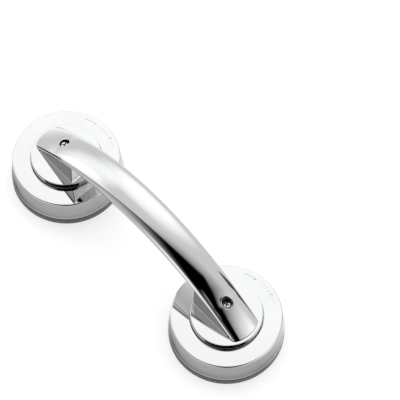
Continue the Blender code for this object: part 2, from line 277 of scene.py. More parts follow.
def crown(x):
    """Rise of the handle's top above its widest line."""
    share = min(1.0, abs(x) / DISC_X) ** 2
    beyond = max(0.0, abs(x) - DISC_X) / END_ARC_R
    return CROWN_MID + (CROWN_END - CROWN_MID) * share + CROWN_TIP_GAIN * beyond ** 2


def half_section(angle):
    """Unit superellipse point, (across, up), for an angle from 0 to pi."""
    c = math.cos(angle)
    s = max(0.0, math.sin(angle))
    power = 2.0 / SECTION_POWER
    return math.copysign(abs(c) ** power, c), s ** power


def end_x(y):
    """How far the handle's end arc reaches at this side offset."""
    return DISC_X + math.sqrt(END_ARC_R ** 2 - y ** 2)


def top_height(x, y, inset):
    """Height of the handle's top over a point of its plan, or of its inside for an inset."""
    share = x / end_x(y)
    width = half_width(share * end_x(0.0)) - inset
    across = min(1.0, abs(y) / width)
    up = (1.0 - across ** SECTION_POWER) ** (1.0 / SECTION_POWER)
    return arch(x) + up * (crown(x) - inset)


def top_columns(inset):
    """Lines along the handle from rim to rim, each with its kind and three numbers.

    A rim line has its side, its inset and its height from the widest line, and a crown line has its
    section angle."""
    if inset > 0.0:
        rims = [(inset, -RIM_DROP), (inset, -1.5), (inset, -1.0), (inset, -0.5)]
    else:
        rims = [(0.62, -RIM_DROP), (0.34, -RIM_DROP + 0.07), (RIM_INSET, -1.4), (0.08, -0.7)]
    columns = [("rim", 1.0, e, drop) for e, drop in rims]
    columns += [("crown", math.pi * j / ACROSS, 0.0, 0.0) for j in range(ACROSS + 1)]
    columns += [("rim", -1.0, e, drop) for e, drop in reversed(rims)]
    return columns


def column_point(column, share, inset):
    """Point of one line of the handle's top at a share of the length from -1 to 1."""
    kind, value, edge, drop = column
    width = half_width(share * end_x(0.0))
    if kind == "rim":
        y = value * (width - edge)
        x = share * end_x(y)
        return x, y, arch(x) + drop
    across, up = half_section(value)
    y = across * (width - inset)
    x = share * end_x(y)
    return x, y, arch(x) + up * (crown(x) - inset)


def last_share(column, inset, floor_z):
    """Share of the length at which a line comes down to a height, or 1."""
    if column_point(column, 1.0, inset)[2] > floor_z:
        return 1.0
    low, high = 0.7, 1.0
    for _ in range(40):
        middle = 0.5 * (low + high)
        if column_point(column, middle, inset)[2] > floor_z:
            low = middle
        else:
            high = middle
    return low


def top_skin(bm, inset, floor_z, hole_r):
    """Grid of the handle's top, or of its inside, with round holes over the screws.

    Returns the loop round the whole skin and the loop of each hole."""
    columns = top_columns(inset)
    reach = [last_share(column, inset, floor_z) for column in columns]
    grid = []
    for i in range(ROWS + 1):
        t = 2.0 * i / ROWS - 1.0
        row = []
        for column, end in zip(columns, reach):
            x, y, z = column_point(column, t * end, inset)
            row.append(bm.verts.new((x * MM, y * MM, z * MM)))
        grid.append(row)
    middle = len(columns) // 2
    left = next(j for j, line in enumerate(columns)
                if line[0] == "crown" and crown_y(line) < PATCH_HALF_Y)
    right = len(columns) - 1 - left
    half_rows = round(PATCH_ROWS / (2.0 * end_x(0.0) / ROWS))
    holes = []
    covered = []
    skipped = set()
    for _, side in SIDES:
        centre = side * DISC_X
        nearest = min(range(ROWS + 1), key=lambda i: abs(grid[i][middle].co.x / MM - centre))
        first, last = nearest - half_rows, nearest + half_rows
        skipped.update((i, j) for i in range(first, last) for j in range(left, right))
        loop = [grid[first][j] for j in range(left, right)]
        loop += [grid[i][right] for i in range(first, last)]
        loop += [grid[last][j] for j in range(right, left, -1)]
        loop += [grid[i][left] for i in range(last, first, -1)]
        holes.append(patch(bm, loop, centre, hole_r, inset))
        covered += [grid[i][j] for i in range(first + 1, last) for j in range(left + 1, right)]
    for i in range(ROWS):
        for j in range(len(columns) - 1):
            if (i, j) not in skipped:
                bm.faces.new((grid[i][j], grid[i + 1][j], grid[i + 1][j + 1], grid[i][j + 1]))
    for vert in covered:
        bm.verts.remove(vert)
    outline = grid[0][:-1] + [row[-1] for row in grid[:-1]]
    outline += grid[-1][:0:-1] + [row[0] for row in grid[:0:-1]]
    return outline, holes


def crown_y(column):
    """Side offset of a crown line over the discs."""
    return half_section(column[1])[0] * HALF_WIDTH_END


def patch(bm, loop, centre, radius, inset):
    """Rings of faces from a loop of the grid in to a circle over a screw; returns the circle's loop."""
    reaches = [(v.co.x / MM - centre, v.co.y / MM) for v in loop]
    previous = loop
    for k in range(1, PATCH_RINGS + 1):
        ring = []
        for dx, dy in reaches:
            far = math.hypot(dx, dy)
            scale = (far + (radius - far) * k / PATCH_RINGS) / far
            x, y = centre + dx * scale, dy * scale
            ring.append(bm.verts.new((x * MM, y * MM, top_height(x, y, inset) * MM)))
        bridge(bm, previous, ring)
        previous = ring
    return previous


def ring_loop(bm, model, centre, radius, height):
    """A circle with its points at the same turns as those of a model loop; height is a number or a list."""
    loop = []
    for i, vert in enumerate(model):
        turn = math.atan2(vert.co.y / MM, vert.co.x / MM - centre)
        z = height[i] if isinstance(height, list) else height
        x, y = centre + radius * math.cos(turn), radius * math.sin(turn)
        loop.append(bm.verts.new((x * MM, y * MM, z * MM)))
    return loop


def build_handle_top(chrome):
    """The upper shell, with a smooth crown, rolled rims and a lipped cup for each screw."""
    bm = bmesh.new()
    outer, outer_holes = top_skin(bm, 0.0, FOOT_BASE_Z + 0.3, CUP_BORE_R + CUP_LIP)
    inner, inner_holes = top_skin(bm, SHELL, FOOT_BASE_Z, CUP_R)
    skirt = [bm.verts.new(v.co) for v in outer]
    for vert, low in zip(outer, skirt):
        at_end = abs(vert.co.z / MM - arch(vert.co.x / MM) + RIM_DROP) > 0.001
        if at_end or vert.co.z / MM < FOOT_BASE_Z + 0.31:
            low.co.z = FOOT_BASE_Z * MM
    bridge(bm, outer, skirt)
    bridge(bm, skirt, inner)
    for (_, side), lip, back in zip(SIDES, outer_holes, inner_holes):
        centre = side * DISC_X
        tops = [v.co.z / MM for v in lip]
        previous = lip
        for k in range(1, LIP_STEPS + 1):
            bend = 0.5 * math.pi * k / LIP_STEPS
            radius = CUP_BORE_R + CUP_LIP * (1.0 - math.sin(bend))
            heights = [z - CUP_LIP * (1.0 - math.cos(bend)) for z in tops]
            loop = ring_loop(bm, lip, centre, radius, heights)
            bridge(bm, previous, loop)
            previous = loop
        wall = ((CUP_BORE_R, CUP_FLOOR_Z + 0.25), (CUP_BORE_R - 0.25, CUP_FLOOR_Z),
                (SHANK_HOLE_R, CUP_FLOOR_Z), (SHANK_HOLE_R, CUP_BOTTOM_Z),
                (CUP_R - 0.2, CUP_BOTTOM_Z), (CUP_R, CUP_BOTTOM_Z + 0.2))
        for radius, z in wall:
            loop = ring_loop(bm, lip, centre, radius, z)
            bridge(bm, previous, loop)
            previous = loop
        bridge(bm, previous, back)
    bmesh.ops.remove_doubles(bm, verts=bm.verts, dist=0.000003)
    bmesh.ops.dissolve_degenerate(bm, edges=bm.edges, dist=0.000003)
    return finish_piece("handle_top", bm, chrome, 42.0)


def strip_capped(bm, loops):
    """Skin closed loops whose second half runs back beside the first, and cap both ends with strips."""
    rings = [[bm.verts.new(Vector(point) * MM) for point in loop] for loop in loops]
    for first, second in zip(rings, rings[1:]):
        bridge(bm, first, second)
    for ring in (rings[0], rings[-1]):
        last = len(ring) - 1
        for i in range(len(ring) // 2 - 1):
            bm.faces.new((ring[i], ring[i + 1], ring[last - i - 1], ring[last - i]))


def belly_ring(x):
    """Section of the underside: a shallow tray with rounded lips, open towards the upper shell."""
    steps = 28
    share = min(1.0, abs(x) / DISC_X)
    depth = BELLY_MID + (BELLY_FOOT - BELLY_MID) * share ** 2
    width = half_width(x) - BELLY_INSET
    top = arch(x) - RIM_DROP - GAP
    outer = [half_section(math.pi * i / steps) for i in range(steps + 1)]
    ring = [(x, width - 0.3, top)]
    ring += [(x, across * width, top - max(0.25, up * depth)) for across, up in outer]
    ring += [(x, 0.3 - width, top), (x, 0.3 - width + 0.6, top)]
    for across, up in reversed(outer):
        ring.append((x, across * (width - SHELL), top - max(0.3, up * (depth - SHELL))))
    ring.append((x, width - 0.9, top))
    return ring


def foot_outline(inset, outer_x):
    """Plan of a foot at its base: two straight sides and a flat inner face, with small rounded corners."""
    steps = 6
    y = FOOT_HALF_LOW - inset
    face = FOOT_FACE_X + inset
    cx, cy = face + FOOT_CORNER_R, y - FOOT_CORNER_R
    along = 14
    half = [(outer_x - (outer_x - cx) * i / along, y) for i in range(along)]
    for i in range(steps + 1):
        turn = 0.5 * math.pi * (1.0 + i / steps)
        half.append((cx + FOOT_CORNER_R * math.cos(turn), cy + FOOT_CORNER_R * math.sin(turn)))
    return half + [(x, -y) for x, y in reversed(half)]


def foot_loop(side, inset, outer_x, height):
    """One loop of a foot at the heights that a function of x gives; the sides lean in with height."""
    loop = []
    for x, y in foot_outline(inset, outer_x):
        z = height(x)
        lean = FOOT_DRAFT * (z - FOOT_BASE_Z) / FOOT_HALF_LOW
        loop.append((side * x, y * (1.0 - lean), z))
    return loop


def foot_loops(side, inset, bottom, drop, outer_x, lipped):
    """Loops of a foot from its lower edge, which may have a thin rolled lip, up into the arch."""
    lip = ((0.0, 0.0),)
    if lipped:
        lip += ((-0.22, 0.08), (-0.3, 0.22), (-0.26, 0.36), (0.0, 0.72))
    loops = [foot_loop(side, inset + pull, outer_x - pull, lambda x, z=bottom + rise: z)
             for pull, rise in lip]
    loops.append(foot_loop(side, inset, outer_x, lambda x: arch(x) - RIM_DROP - GAP - drop))
    return loops


def drop_crumbs(obj, fewest=24):
    """Remove the loose scraps that Booleans leave, which have fewer faces than any real part."""
    bm = bmesh.new()
    bm.from_mesh(obj.data)
    unseen = set(bm.verts)
    while unseen:
        island, waiting = set(), [unseen.pop()]
        while waiting:
            vert = waiting.pop()
            island.add(vert)
            near = {edge.other_vert(vert) for edge in vert.link_edges} & unseen
            unseen -= near
            waiting.extend(near)
        if len({f for v in island for f in v.link_faces}) < fewest:
            bmesh.ops.delete(bm, geom=list(island), context="VERTS")
    bm.to_mesh(obj.data)
    bm.free()


def build_handle_underside(chrome):
    """The tray under the handle with its two hollow feet."""
    stations = 96
    reach = FOOT_FACE_X + 0.5 * FOOT_WALL
    bm = bmesh.new()
    strip_capped(bm, [belly_ring(reach * (2.0 * i / stations - 1.0)) for i in range(stations + 1)])
    tray = finish_piece("handle_underside", bm, chrome)
    for tag, side in SIDES:
        centre = side * DISC_X
        bm = bmesh.new()
        strip_capped(bm, foot_loops(side, 0.0, FOOT_BASE_Z, 0.0, FOOT_OUTER_X, True))
        boolean(tray, finish_piece(f"foot_{tag}", bm, chrome), "UNION")
        bm = bmesh.new()
        strip_capped(bm, foot_loops(side, FOOT_WALL, FOOT_BASE_Z - SHELL, FOOT_WALL, POCKET_OUTER_X, False))
        pocket = finish_piece(f"pocket_{tag}", bm, chrome)
        boss = upright_solid("boss", centre, FOOT_BOSS_R, FOOT_BASE_Z - 5.0, ARCH_Z)
        boolean(pocket, boss, "DIFFERENCE")
        boolean(tray, pocket, "DIFFERENCE")
        clear = upright_solid("clear", centre, CUP_R + 2.0 * GAP, CUP_BOTTOM_Z - GAP, ARCH_Z)
        boolean(tray, clear, "DIFFERENCE")
        shank = upright_solid("shank", centre, SHANK_HOLE_R, FOOT_BASE_Z - SHELL, ARCH_Z, 32)
        boolean(tray, shank, "DIFFERENCE")
    drop_crumbs(tray)
    return reshade(tray, 30.0)


# ---------------------------------------------------------------- second materials on parts of a piece: painted light and shade


def paint_light_and_shade(obj, mat, wanted):
    """Give a second material, used here for painted light and painted shade, to the faces whose centre and
    normal pass a test, in millimetres.
    """
    obj.data.materials.append(mat)
    for face in obj.data.polygons:
        if wanted(face.center / MM, face.normal):
            face.material_index = len(obj.data.materials) - 1


def in_cup(centre, normal):
    """Upright wall of a screw cup."""
    away = math.hypot(abs(centre.x) - DISC_X, centre.y)
    return away < CUP_BORE_R + 0.1 and centre.z > CUP_BOTTOM_Z + 0.3 and abs(normal.z) < 0.6


def on_foot_face(centre, normal):
    """Flat inner face of a foot."""
    return abs(normal.x) > 0.95 and FOOT_FACE_X - 0.4 < abs(centre.x) < FOOT_FACE_X + 0.3


def on_foot_side(centre, normal):
    """Sloping outer side of a foot."""
    outer = abs(centre.x) > FOOT_FACE_X - 0.4 and abs(centre.y) > HALF_WIDTH_END - 0.9
    return abs(normal.y) > 0.95 and outer


def in_recess(centre, normal):
    """Sides and floor of a screw's cross recess."""
    away = math.hypot(abs(centre.x) - DISC_X, centre.y)
    return away < 2.5 and SCREW_TOP_Z - 2.4 < centre.z < SCREW_TOP_Z - 0.12


# ---------------------------------------------------------------- discs and screws


def build_lock_ring(tag, x, chrome):
    """The outer ring that turns, with rounded edges and a small band at its foot."""
    under = RING_TOP_Z - SHELL
    low = RING_LOW_R
    corners = [(RING_BORE_R, RING_TOP_Z, 0.35), (RING_TOP_R, RING_TOP_Z, 1.15),
               (low - 0.45, RING_BOTTOM_Z + 4.2, 1.2), (low, RING_BOTTOM_Z + 2.7, 0.7),
               (low, RING_BOTTOM_Z, 0.4), (low - SHELL, RING_BOTTOM_Z, 0.3),
               (low - SHELL - 0.4, RING_BOTTOM_Z + 4.0, 0.0), (RING_TOP_R - 2.1, under, 0.6),
               (SKIRT_OUT_R, under, 0.4), (SKIRT_OUT_R, SKIRT_LOW_Z, 0.3),
               (SKIRT_IN_R, SKIRT_LOW_Z, 0.3), (SKIRT_IN_R, under, 0.0), (RING_BORE_R, under, 0.2)]
    return turned_piece(f"ring_{tag}", rounded(corners, 6), x, 192, chrome)


def build_hub(tag, x, chrome):
    """The raised cap in the middle of a disc, which stays still with the handle."""
    flange = RING_TOP_Z - SHELL - 0.4
    corners = [(2.3, HUB_TOP_Z, 0.2), (30.05, HUB_TOP_Z, 0.55),
               (HUB_R, RING_TOP_Z, 0.0), (HUB_R, flange, 0.15),
               (32.6, flange, 0.3), (32.6, flange - 2.0, 0.3), (27.6, flange - 2.0, 0.3),
               (27.6, HUB_TOP_Z - 3.0, 0.5), (15.0, HUB_TOP_Z - 3.0, 0.4), (15.0, 30.8, 0.3),
               (4.2, 30.8, 0.3), (4.2, 24.0, 0.3), (2.3, 24.0, 0.2)]
    return turned_piece(f"hub_{tag}", rounded(corners, 5), x, 160, chrome)


def build_pad(tag, x, rubber):
    """Rubber pad: a rounded rim with a parting groove, and sealing grooves underneath."""
    corners = [(PAD_R - 1.0, 0.0, 0.5), (PAD_R, 0.25, 0.35), (PAD_R, 1.5, 0.25), (PAD_R - 0.45, 1.75, 0.15),
               (PAD_R - 0.45, 2.15, 0.15), (PAD_R - 0.1, 2.4, 0.2), (PAD_R - 0.1, 5.0, 0.7), (38.0, 5.0, 0.5),
               (36.0, 3.2, 0.5), (12.0, 3.2, 0.6), (10.5, 5.8, 0.4), (6.8, 5.8, 0.3), (6.8, 1.6, 0.0)]
    outline = [(0.0, 0.35), (6.0, 0.34), (18.0, 0.26), (30.0, 0.1), (36.5, 0.0)]
    for groove in (38.5, 41.5, 44.5):
        outline += [(groove, 0.0), (groove + 0.2, 0.22), (groove + 0.5, 0.3), (groove + 0.8, 0.22),
                    (groove + 1.0, 0.0)]
    outline += rounded(corners, 4)
    outline.append((0.0, 1.6))
    return turned_piece(f"pad_{tag}", outline, x, 144, rubber, closed=False)


def build_screw(tag, x, steel):
    """Pan-head screw with a tapered cross recess."""
    shank = 2.0
    low = CUP_FLOOR_Z + GAP
    top = SCREW_TOP_Z
    pitch, thread_end, tip = 1.5, 29.5, 25.6
    outline = [(0.0, top), (1.6, top - 0.02), (2.6, top - 0.1), (3.25, top - 0.3), (3.65, top - 0.7),
               (3.85, top - 1.3), (3.85, low + 0.15), (3.7, low), (shank, low)]
    z = low
    while z > thread_end:
        outline += [(shank, z - 0.35), (shank - 0.32, z - 0.75), (shank, z - 1.15)]
        z -= pitch
    outline += [(shank - 0.3, tip + 1.8), (0.0, tip)]
    bm = bmesh.new()
    turned(bm, outline, x, 48, closed=False)
    screw = finish_piece(f"screw_{tag}", bm, steel, 50.0)
    bm = bmesh.new()
    loops = []
    for reach, half, z in ((1.1, 0.4, top - 2.1), (2.2, 0.5, top - 0.9), (2.55, 0.62, top + 0.8)):
        arm = [(half, -reach), (half, -half), (reach, -half), (reach, half),
               (half, half), (half, reach), (-half, reach), (-half, half),
               (-reach, half), (-reach, -half), (-half, -half), (-half, -reach)]
        turn = math.radians(28.0)
        c, s = math.cos(turn), math.sin(turn)
        loops.append([bm.verts.new(((x + px * c - py * s) * MM, (px * s + py * c) * MM, z * MM))
                      for px, py in arm])
    for first, second in zip(loops, loops[1:]):
        bridge(bm, first, second)
    bm.faces.new(loops[0])
    bm.faces.new(loops[-1])
    boolean(screw, finish_piece(f"recess_{tag}", bm, steel), "DIFFERENCE")
    return reshade(screw, 40.0)


def raised_strip(bm, centre_x, points, half, low, high):
    """A raised line with a chamfered top along (radius, degrees) points on a ring's top."""
    path = [Vector((r * math.cos(math.radians(d)), r * math.sin(math.radians(d)))) for r, d in points]
    sections = []
    for i, here in enumerate(path):
        before = path[max(0, i - 1)]
        after = path[min(len(path) - 1, i + 1)]
        along = (after - before).normalized()
        normal = Vector((-along.y, along.x))
        ring = []
        for offset, z in ((-half, low), (-half, high - 0.06), (-half + 0.07, high), (half - 0.07, high),
                          (half, high - 0.06), (half, low)):
            spot = here + normal * offset
            ring.append(bm.verts.new(((centre_x + spot.x) * MM, spot.y * MM, z * MM)))
        sections.append(ring)
    for first, second in zip(sections, sections[1:]):
        bridge(bm, first, second)
    bm.faces.new(sections[0])
    bm.faces.new(sections[-1])


def build_marks(tag, x, chrome):
    """Generic turning marks near a ring's edge: two curved arrows with steps between tight and loose."""
    low, high = RING_TOP_Z - 0.1, RING_TOP_Z + 0.22
    bm = bmesh.new()
    for start, end, tip in ((116.0, 101.0, -1.0), (62.0, 76.0, 1.0)):
        count = 12
        arc = [(MARK_R, start + (end - start) * i / count) for i in range(count + 1)]
        raised_strip(bm, x, arc, 0.32, low, high)
        for across in (1.7, -1.7):
            barb = [(MARK_R + across, end - tip * 2.6), (MARK_R, end + tip * 0.4)]
            raised_strip(bm, x, barb, 0.3, low, high)
    for degrees, reach in ((80.5, 0.8), (84.5, 1.2), (88.5, 1.6), (92.5, 1.2), (96.5, 0.8)):
        raised_strip(bm, x, [(MARK_R - reach, degrees), (MARK_R + reach, degrees)], 0.3, low, high)
    return finish_piece(f"marks_{tag}", bm, chrome, 20.0)


# ---------------------------------------------------------------- materials


def new_material(name):
    """Material and its Principled shader."""
    mat = bpy.data.materials.new(name)
    mat.use_nodes = True
    return mat, mat.node_tree.nodes["Principled BSDF"]


def noise(mat, scale, detail, roughness=0.5, stretch=None):
    """Noise in object coordinates; returns its value socket."""
    nodes, links = mat.node_tree.nodes, mat.node_tree.links
    place = nodes.new("ShaderNodeTexCoord")
    texture = nodes.new("ShaderNodeTexNoise")
    texture.inputs["Scale"].default_value = scale
    texture.inputs["Detail"].default_value = detail
    texture.inputs["Roughness"].default_value = roughness
    if stretch is None:
        links.new(place.outputs["Object"], texture.inputs["Vector"])
    else:
        mapping = nodes.new("ShaderNodeMapping")
        mapping.inputs["Scale"].default_value = stretch
        links.new(place.outputs["Object"], mapping.inputs["Vector"])
        links.new(mapping.outputs["Vector"], texture.inputs["Vector"])
    return texture.outputs["Fac"]


def spread(mat, value, low, high, to_low, to_high):
    """Map a value's range onto another."""
    nodes, links = mat.node_tree.nodes, mat.node_tree.links
    step = nodes.new("ShaderNodeMapRange")
    step.inputs["From Min"].default_value = low
    step.inputs["From Max"].default_value = high
    step.inputs["To Min"].default_value = to_low
    step.inputs["To Max"].default_value = to_high
    links.new(value, step.inputs["Value"])
    return step.outputs["Result"]


def tint(mat, value, dark, light, low=0.35, high=0.65):
    """Colour that runs from dark to light with a value."""
    nodes, links = mat.node_tree.nodes, mat.node_tree.links
    ramp = nodes.new("ShaderNodeValToRGB")
    ramp.color_ramp.elements[0].position = low
    ramp.color_ramp.elements[0].color = (*dark, 1.0)
    ramp.color_ramp.elements[1].position = high
    ramp.color_ramp.elements[1].color = (*light, 1.0)
    links.new(value, ramp.inputs["Fac"])
    return ramp.outputs["Color"]


def bump(mat, shader, value, strength, distance):
    """Fine relief on a shader's normal, added on top of any before it."""
    nodes, links = mat.node_tree.nodes, mat.node_tree.links
    step = nodes.new("ShaderNodeBump")
    step.inputs["Strength"].default_value = strength
    step.inputs["Distance"].default_value = distance
    links.new(value, step.inputs["Height"])
    if shader.inputs["Normal"].links:
        links.new(shader.inputs["Normal"].links[0].from_socket, step.inputs["Normal"])
    links.new(step.outputs["Normal"], shader.inputs["Normal"])


def chrome_material(name, tone, smudge, clean=0.022):
    """Chrome plate on moulded plastic: slight unevenness of the plate, faint smudges and hairlines."""
    mat, shader = new_material(name)
    links = mat.node_tree.links
    shader.inputs["Metallic"].default_value = 1.0
    dark = tuple(0.965 * c for c in tone)
    links.new(tint(mat, noise(mat, 26.0, 3.0), dark, tone), shader.inputs["Base Color"])
    cloudy = spread(mat, noise(mat, 38.0, 6.0, 0.62), 0.46, 0.74, clean, smudge)
    hairs = spread(mat, noise(mat, 900.0, 2.0, 0.5, (0.05, 1.0, 1.0)), 0.55, 0.75, 0.0, 0.03)
    nodes = mat.node_tree.nodes
    total = nodes.new("ShaderNodeMath")
    total.operation = "ADD"
    links.new(cloudy, total.inputs[0])
    links.new(hairs, total.inputs[1])
    links.new(total.outputs["Value"], shader.inputs["Roughness"])
    bump(mat, shader, noise(mat, 70.0, 2.0), 0.05, 0.00004)
    return mat


def rubber_material():
    """Soft grey rubber with a fine moulded grain."""
    mat, shader = new_material("grey_rubber")
    links = mat.node_tree.links
    links.new(tint(mat, noise(mat, 420.0, 5.0, 0.6), (0.125, 0.127, 0.13), (0.17, 0.172, 0.175)),
              shader.inputs["Base Color"])
    links.new(spread(mat, noise(mat, 150.0, 4.0), 0.3, 0.7, 0.46, 0.66), shader.inputs["Roughness"])
    shader.inputs["Sheen Weight"].default_value = 0.15
    bump(mat, shader, noise(mat, 2600.0, 3.0), 0.18, 0.00005)
    return mat


def plastic_material(name, dark, light, roughness):
    """Moulded plastic with a faint cloudiness and a fine matt grain."""
    mat, shader = new_material(name)
    links = mat.node_tree.links
    links.new(tint(mat, noise(mat, 60.0, 4.0), dark, light), shader.inputs["Base Color"])
    links.new(spread(mat, noise(mat, 240.0, 4.0), 0.3, 0.7, roughness - 0.06, roughness + 0.08),
              shader.inputs["Roughness"])
    bump(mat, shader, noise(mat, 1800.0, 3.0), 0.12, 0.00004)
    return mat


def steel_material():
    """Zinc-plated steel with fine turning lines and a slightly uneven plate."""
    mat, shader = new_material("zinc_steel")
    links = mat.node_tree.links
    shader.inputs["Metallic"].default_value = 1.0
    links.new(tint(mat, noise(mat, 300.0, 5.0, 0.6), (0.56, 0.56, 0.55), (0.70, 0.70, 0.685)),
              shader.inputs["Base Color"])
    links.new(spread(mat, noise(mat, 1500.0, 3.0, 0.5, (1.0, 1.0, 0.15)), 0.3, 0.7, 0.16, 0.34),
              shader.inputs["Roughness"])
    bump(mat, shader, noise(mat, 2400.0, 2.0), 0.1, 0.00003)
    return mat


# ---------------------------------------------------------------- camera, lights and floor


def make_camera():
    """Camera above and to one side. Its numbers come from a fit to the discs' outlines."""
    azimuth, elevation, roll = math.radians(47.71), math.radians(62.50), math.radians(-0.317)
    place = Vector((0.6147, -0.4960, 1.6079))
    back = Vector((math.sin(azimuth) * math.cos(elevation), -math.cos(azimuth) * math.cos(elevation),
                   math.sin(elevation)))
    right = Vector((0.0, 0.0, 1.0)).cross(back).normalized()
    up = back.cross(right)
    across = math.cos(roll) * right + math.sin(roll) * up
    upward = -math.sin(roll) * right + math.cos(roll) * up
    data = bpy.data.cameras.new("camera")
    data.sensor_width = 36.0
    data.lens = 188.18
    data.clip_start = 0.05
    data.clip_end = 30.0
    camera = bpy.data.objects.new("camera", data)
    columns = Matrix((across, upward, back)).transposed()
    camera.matrix_world = Matrix.Translation(place) @ columns.to_4x4()
    bpy.context.scene.collection.objects.link(camera)
    bpy.context.scene.camera = camera


def area_light(name, place, target, size, power):
    """A soft square area light that faces a point."""
    data = bpy.data.lights.new(name, "AREA")
    data.size = size
    data.energy = power
    light = bpy.data.objects.new(name, data)
    light.location = place
    light.rotation_mode = "QUATERNION"
    light.rotation_quaternion = (Vector(place) - Vector(target)).to_track_quat("Z", "Y")
    bpy.context.scene.collection.objects.link(light)
    return light


def level_square(name, half, z, mat):
    """A square level plane about the middle of the scene, in metres."""
    mesh = bpy.data.meshes.new(name)
    corners = [(-half, -half, z), (half, -half, z), (half, half, z), (-half, half, z)]
    mesh.from_pydata(corners, [], [(0, 1, 2, 3)])
    mesh.materials.append(mat)
    plane = bpy.data.objects.new(name, mesh)
    bpy.context.scene.collection.objects.link(plane)
    return plane


def make_floor():
    """A plain pale floor that reaches well past the picture."""
    mat, shader = new_material("pale_floor")
    shader.inputs["Roughness"].default_value = 0.9
    shader.inputs["Specular IOR Level"].default_value = 0.1
    mat.node_tree.links.new(tint(mat, noise(mat, 40.0, 3.0), (0.41, 0.41, 0.41), (0.43, 0.43, 0.43)),
                            shader.inputs["Base Color"])
    shader.inputs["Emission Color"].default_value = (1.0, 1.0, 1.0, 1.0)
    shader.inputs["Emission Strength"].default_value = 0.58
    floor = level_square("floor", 3.0, 0.0, mat)
    floor.visible_glossy = False


def make_floor_card():
    """What polished surfaces see of the floor: dim in the discs' own shade, and clear further out."""
    mat, shader = new_material("floor_shade")
    nodes, links = mat.node_tree.nodes, mat.node_tree.links
    nodes.remove(shader)
    place = nodes.new("ShaderNodeTexCoord")
    split = nodes.new("ShaderNodeSeparateXYZ")
    links.new(place.outputs["Object"], split.inputs["Vector"])

    def step(operation, first, second=0.0):
        node = nodes.new("ShaderNodeMath")
        node.operation = operation
        for socket, item in zip(node.inputs, (first, second)):
            if isinstance(item, float):
                socket.default_value = item
            else:
                links.new(item, socket)
        return node.outputs["Value"]

    # Distance from the nearer disc's axis
    nearer = step("MULTIPLY", step("SIGN", split.outputs["X"]), DISC_X * MM)
    across = step("SUBTRACT", split.outputs["X"], nearer)
    reach = step("SQRT", step("ADD", step("MULTIPLY", across, across),
                              step("MULTIPLY", split.outputs["Y"], split.outputs["Y"])))
    out = spread(mat, reach, (RING_LOW_R - 1.0) * MM, (RING_LOW_R + 79.0) * MM, 0.0, 1.0)
    ramp = nodes.new("ShaderNodeValToRGB")
    stops = ((0.0, 0.1), (0.03, 0.12), (0.065, 0.17), (0.095, 0.42), (0.14, 0.55), (0.26, 0.64),
             (0.5, 0.85))
    while len(ramp.color_ramp.elements) < len(stops):
        ramp.color_ramp.elements.new(0.5)
    for element, (where, level) in zip(ramp.color_ramp.elements, stops):
        element.position = where
        element.color = (level, level, level, 1.0)
    links.new(out, ramp.inputs["Fac"])
    # The shade counts on the side that faces azimuth -60; the other side stays pale
    toward = math.radians(-60.0)
    ahead = step("ADD", step("MULTIPLY", across, math.cos(toward)),
                 step("MULTIPLY", split.outputs["Y"], math.sin(toward)))
    shaded = spread(mat, step("DIVIDE", ahead, reach), -0.35, 0.55, 0.0, 1.0)
    level = nodes.new("ShaderNodeMix")
    level.data_type = "RGBA"
    level.inputs["A"].default_value = (0.9, 0.9, 0.9, 1.0)
    links.new(shaded, level.inputs["Factor"])
    links.new(ramp.outputs["Color"], level.inputs["B"])
    # Painted dark reflection: a dark strip, seen only in reflections, that runs out from a point on the left
    start, along, across_it = (-0.18, -0.06), (-0.863, -0.504), (0.504, -0.863)
    from_x = step("SUBTRACT", split.outputs["X"], start[0])
    from_y = step("SUBTRACT", split.outputs["Y"], start[1])
    run = step("ADD", step("MULTIPLY", from_x, along[0]), step("MULTIPLY", from_y, along[1]))
    off = step("ABSOLUTE", step("ADD", step("MULTIPLY", from_x, across_it[0]),
                                step("MULTIPLY", from_y, across_it[1])))
    bare_and_painted_shade = step("SUBTRACT", 1.0, step("MULTIPLY", spread(mat, off, 0.05, 0.036, 0.0, 1.0),
                                      spread(mat, run, 0.0, 0.02, 0.0, 1.0)))
    glow = nodes.new("ShaderNodeEmission")
    links.new(level.outputs["Result"], glow.inputs["Color"])
    links.new(bare_and_painted_shade, glow.inputs["Strength"])
    clear = nodes.new("ShaderNodeBsdfTransparent")
    blend = nodes.new("ShaderNodeMixShader")
    outside = spread(mat, reach, (RING_LOW_R + 30.0) * MM, (RING_LOW_R + 79.0) * MM, 0.0, 1.0)
    links.new(step("MULTIPLY", outside, bare_and_painted_shade), blend.inputs["Fac"])
    links.new(glow.outputs["Emission"], blend.inputs[1])
    links.new(clear.outputs["BSDF"], blend.inputs[2])
    links.new(blend.outputs["Shader"], nodes["Material Output"].inputs["Surface"])
    card = level_square("floor_card", 0.6, -0.0004, mat)
    for kind in ("camera", "diffuse", "transmission", "shadow"):
        setattr(card, f"visible_{kind}", False)


def direction(azimuth, elevation):
    """Unit vector from an azimuth about +Z, counted from +X, and an elevation, in degrees."""
    a, e = math.radians(azimuth), math.radians(elevation)
    return Vector((math.cos(a) * math.cos(e), math.sin(a) * math.cos(e), math.sin(e)))


